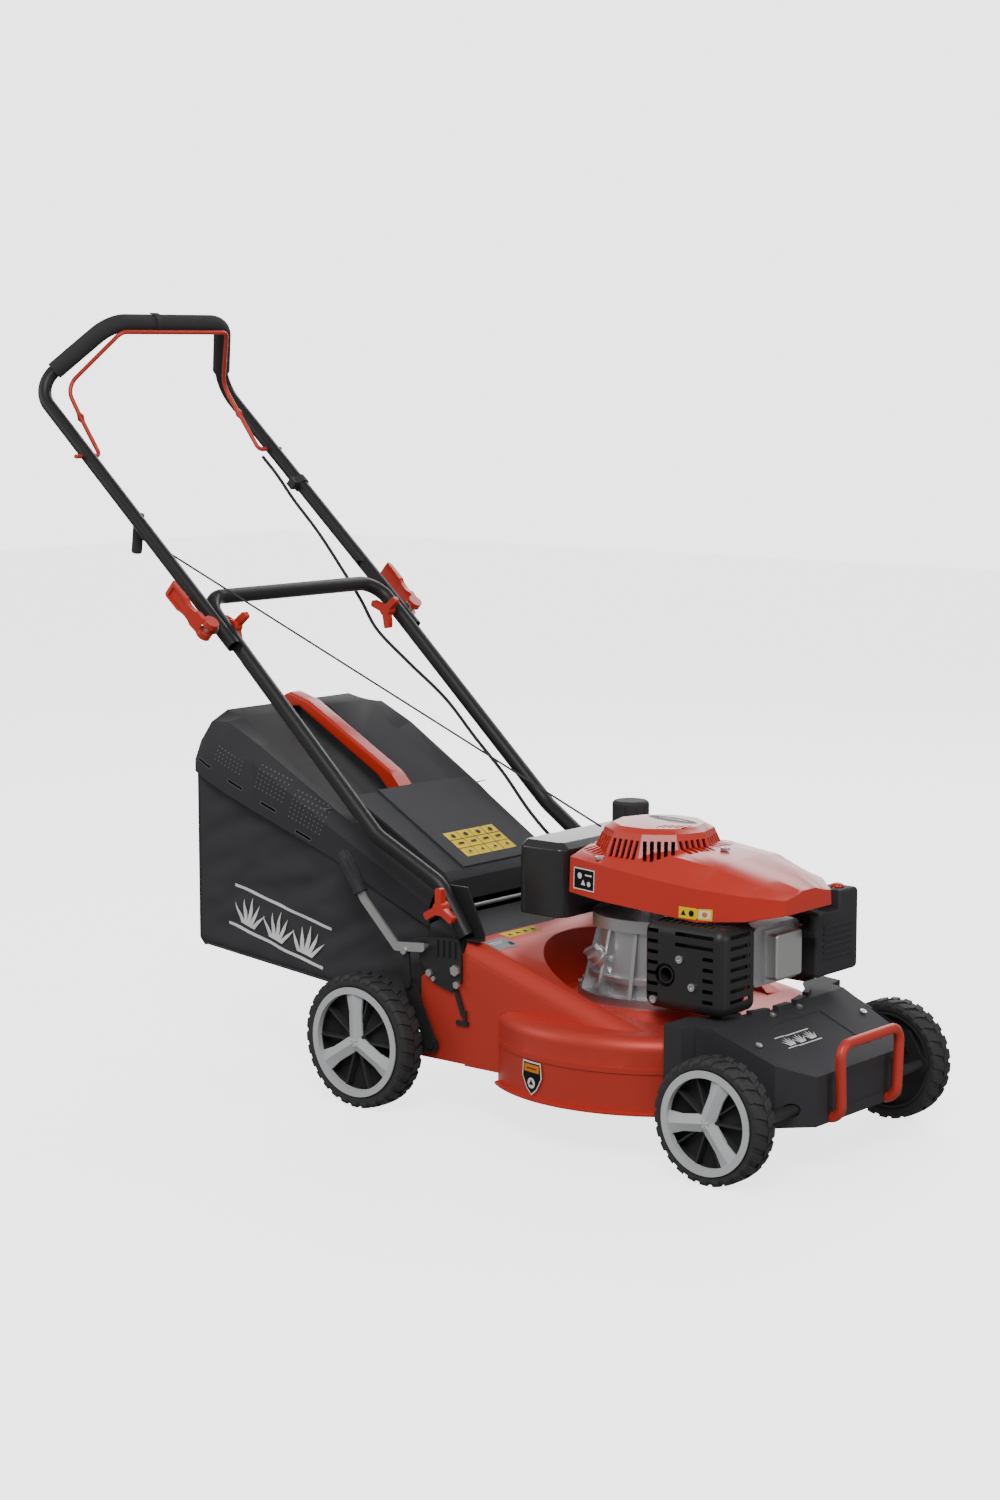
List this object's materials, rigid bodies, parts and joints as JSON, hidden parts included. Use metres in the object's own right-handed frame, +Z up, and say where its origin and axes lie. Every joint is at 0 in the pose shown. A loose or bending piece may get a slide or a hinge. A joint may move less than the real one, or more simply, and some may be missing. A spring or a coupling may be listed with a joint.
{
  "type": "push lawn mower",
  "caption": "Petrol push lawn mower: round steel deck, vertical-shaft engine, folding tube handle with bail, rear grass bag, lever height adjustment on trimmed wheels",
  "frame": {"origin": "on the ground under the middle of the whole mower, on its symmetry plane", "axes": "+X forward, +Y to the operator's left, +Z up"},
  "size_m": [1.3062, 0.45, 1.0522],
  "materials": {
    "red_paint": "gloss red-orange enamel on steel",
    "black_steel": "satin black enamel on steel",
    "black_tube": "gloss black enamel on steel tube",
    "zinc_steel": "bright zinc plated steel",
    "blade_steel": "dark rolled steel",
    "chrome_wire": "chrome plated wire",
    "cast_alloy": "die cast alloy",
    "black_plastic": "fine-grained black moulding",
    "tank_plastic": "semi-gloss black moulding",
    "wheel_plastic": "matt black wheel moulding",
    "trim_plastic": "silver painted moulding",
    "red_plastic": "glossy red moulding",
    "bag_fabric": "coated woven polyester",
    "foam": "closed-cell foam sleeve",
    "rubber_black": "soft black rubber",
    "rope": "braided cord"
  },
  "bodies": {
    "frame": {"deck": "red_paint", "chute_cover": "black_plastic", "front_cowl": "black_plastic", "front_bumper": "red_paint", "lever_bracket": "black_steel", "lower_handle": "black_tube", "handle_brackets": "black_steel", "starter_rope": "rope", "brake_cable": "rubber_black", "engine_block": "cast_alloy", "cylinder_head": "cast_alloy", "valve_cover": "zinc_steel", "spark_plug": "zinc_steel", "plug_boot": "rubber_black", "muffler": "black_steel", "muffler_guard": "black_steel", "carburettor": "cast_alloy", "air_filter": "black_plastic", "fuel_tank": "tank_plastic", "engine_shroud": "red_plastic", "fasteners": "zinc_steel"},
    "flap": {"rear_flap": "black_plastic"},
    "grass_bag": {"bag_lid": "black_plastic", "bag_handle": "red_plastic", "bag_cloth": "bag_fabric"},
    "rear_axle_body": {"rear_axle": "black_steel"},
    "front_axle_body": {"front_axle": "black_steel"},
    "tie_rod_body": {"tie_rod": "black_steel"},
    "height_link_body": {"height_link": "black_steel"},
    "height_lever_body": {"height_lever": "zinc_steel", "height_lever_grip": "black_plastic"},
    "handle_top": {"upper_handle": "black_tube", "foam_grip": "foam", "handle_clips": "black_plastic", "fold_bolts": "zinc_steel", "rope_guide": "chrome_wire"},
    "bail_body": {"bail": "red_paint"},
    "pull_grip_body": {"pull_grip": "black_plastic"},
    "crank": {"crankshaft": "zinc_steel", "flywheel": "cast_alloy", "blade": "blade_steel", "blade_bolt": "zinc_steel"},
    "reel": {"recoil_reel": "black_plastic"},
    "fuel_cap_body": {"fuel_cap": "black_plastic"},
    "oil_plug_body": {"oil_plug": "zinc_steel"},
    "primer_body": {"primer_bulb": "red_plastic"},
    "cam_left": {"cam_lever_left": "red_plastic"},
    "upper_knob_left_body": {"upper_knob_left": "red_plastic"},
    "lower_knob_left_body": {"lower_knob_left": "red_plastic"},
    "wheel_front_left_body": {"wheel_front_left": "wheel_plastic", "wheel_trim_front_left": "trim_plastic"},
    "wheel_rear_left_body": {"wheel_rear_left": "wheel_plastic", "wheel_trim_rear_left": "trim_plastic"},
    "cam_right": {"cam_lever_right": "red_plastic"},
    "upper_knob_right_body": {"upper_knob_right": "red_plastic"},
    "lower_knob_right_body": {"lower_knob_right": "red_plastic"},
    "wheel_front_right_body": {"wheel_front_right": "wheel_plastic", "wheel_trim_front_right": "trim_plastic"},
    "wheel_rear_right_body": {"wheel_rear_right": "wheel_plastic", "wheel_trim_rear_right": "trim_plastic"}
  },
  "joints": [
    {"name": "handle_fold", "type": "hinge", "parent": "frame", "child": "handle_top", "pos_m": [-0.2909, 0, 0.623], "axis": [0, 1, 0], "range_deg": [0, 135], "deforming": ["brake_cable", "starter_rope"]},
    {"name": "bail_pull", "type": "hinge", "parent": "handle_top", "child": "bail_body", "pos_m": [-0.5519, 0, 0.85], "axis": [0, 1, 0], "range_deg": [0, 36]},
    {"name": "starter_pull", "type": "slide", "parent": "handle_top", "child": "pull_grip_body", "axis": [-0.8859, -0.1566, 0.4366], "range_m": [0, 0.6], "stiffness_N_per_m": 20, "deforming": ["starter_rope"]},
    {"name": "reel_turn", "type": "hinge", "parent": "frame", "child": "reel", "pos_m": [0.3211, 0, 0.368], "axis": [0, 0, 1], "range_deg": [0, 1150]},
    {"name": "crank_turn", "type": "hinge", "parent": "frame", "child": "crank", "pos_m": [0.3211, 0, 0.2], "axis": [0, 0, -1], "continuous": true},
    {"name": "rear_height", "type": "hinge", "parent": "frame", "child": "rear_axle_body", "pos_m": [0.0811, 0, 0.095], "axis": [0, 1, 0], "range_deg": [-14, 10]},
    {"name": "front_height", "type": "hinge", "parent": "frame", "child": "front_axle_body", "pos_m": [0.6111, 0, 0.084], "axis": [0, 1, 0], "range_deg": [-22.5, 16.1]},
    {"name": "tie_rod_turn", "type": "hinge", "parent": "rear_axle_body", "child": "tie_rod_body", "pos_m": [0.0531, 0.1796, 0.152], "axis": [0, 1, 0], "range_deg": [-10.1, 14.1]},
    {"name": "link_turn", "type": "hinge", "parent": "rear_axle_body", "child": "height_link_body", "pos_m": [0.0441, -0.1796, 0.17], "axis": [0, 1, 0], "range_deg": [-28, 39.2]},
    {"name": "lever_turn", "type": "hinge", "parent": "frame", "child": "height_lever_body", "pos_m": [0.0711, -0.178, 0.224], "axis": [0, 1, 0], "range_deg": [-17.4, 12.4]},
    {"name": "flap_open", "type": "hinge", "parent": "frame", "child": "flap", "pos_m": [0.0611, 0, 0.261], "axis": [0, 1, 0], "range_deg": [0, 48]},
    {"name": "bag_lift_off", "type": "slide", "parent": "frame", "child": "grass_bag", "axis": [-0.866, 0, 0.5], "range_m": [0, 0.25]},
    {"name": "fuel_cap_turn", "type": "hinge", "parent": "frame", "child": "fuel_cap_body", "pos_m": [0.1991, 0.1, 0.38], "axis": [0, 0, 1], "range_deg": [0, 90]},
    {"name": "oil_plug_turn", "type": "hinge", "parent": "frame", "child": "oil_plug_body", "pos_m": [0.2881, -0.078, 0.222], "axis": [-0.4644, -0.6057, 0.6461], "range_deg": [0, 90]},
    {"name": "primer_press", "type": "slide", "parent": "frame", "child": "primer_body", "axis": [0, 0, -1], "range_m": [0, 0.004], "stiffness_N_per_m": 400},
    {"name": "cam_left_open", "type": "hinge", "parent": "handle_top", "child": "cam_left", "pos_m": [-0.2909, 0.21, 0.623], "axis": [-0.6613, 0, -0.7501], "range_deg": [0, 110]},
    {"name": "upper_knob_left_turn", "type": "hinge", "parent": "handle_top", "child": "upper_knob_left_body", "pos_m": [-0.2909, 0.158, 0.623], "axis": [0, 1, 0], "continuous": true},
    {"name": "lower_knob_left_turn", "type": "hinge", "parent": "frame", "child": "lower_knob_left_body", "pos_m": [0.1071, 0.183, 0.281], "axis": [0, 1, 0], "continuous": true},
    {"name": "wheel_front_left_turn", "type": "hinge", "parent": "front_axle_body", "child": "wheel_front_left_body", "pos_m": [0.5551, 0.202, 0.079], "axis": [0, 1, 0], "continuous": true},
    {"name": "wheel_rear_left_turn", "type": "hinge", "parent": "rear_axle_body", "child": "wheel_rear_left_body", "pos_m": [-0.0149, 0.202, 0.0905], "axis": [0, 1, 0], "continuous": true},
    {"name": "cam_right_open", "type": "hinge", "parent": "handle_top", "child": "cam_right", "pos_m": [-0.2909, -0.21, 0.623], "axis": [0.6613, 0, 0.7501], "range_deg": [0, 110]},
    {"name": "upper_knob_right_turn", "type": "hinge", "parent": "handle_top", "child": "upper_knob_right_body", "pos_m": [-0.2909, -0.158, 0.623], "axis": [0, 1, 0], "continuous": true},
    {"name": "lower_knob_right_turn", "type": "hinge", "parent": "frame", "child": "lower_knob_right_body", "pos_m": [0.1071, -0.183, 0.281], "axis": [0, 1, 0], "continuous": true},
    {"name": "wheel_front_right_turn", "type": "hinge", "parent": "front_axle_body", "child": "wheel_front_right_body", "pos_m": [0.5551, -0.202, 0.079], "axis": [0, 1, 0], "continuous": true},
    {"name": "wheel_rear_right_turn", "type": "hinge", "parent": "rear_axle_body", "child": "wheel_rear_right_body", "pos_m": [-0.0149, -0.202, 0.0905], "axis": [0, 1, 0], "continuous": true}
  ],
  "couplings": [
    {"joint": "front_height", "follows": "rear_height", "ratio": 1.6},
    {"joint": "tie_rod_turn", "follows": "rear_height", "ratio": -1},
    {"joint": "link_turn", "follows": "rear_height", "ratio": -2.78},
    {"joint": "lever_turn", "follows": "rear_height", "ratio": 1.23},
    {"joint": "reel_turn", "follows": "starter_pull", "rad_per_m": 33.3}
  ]
}
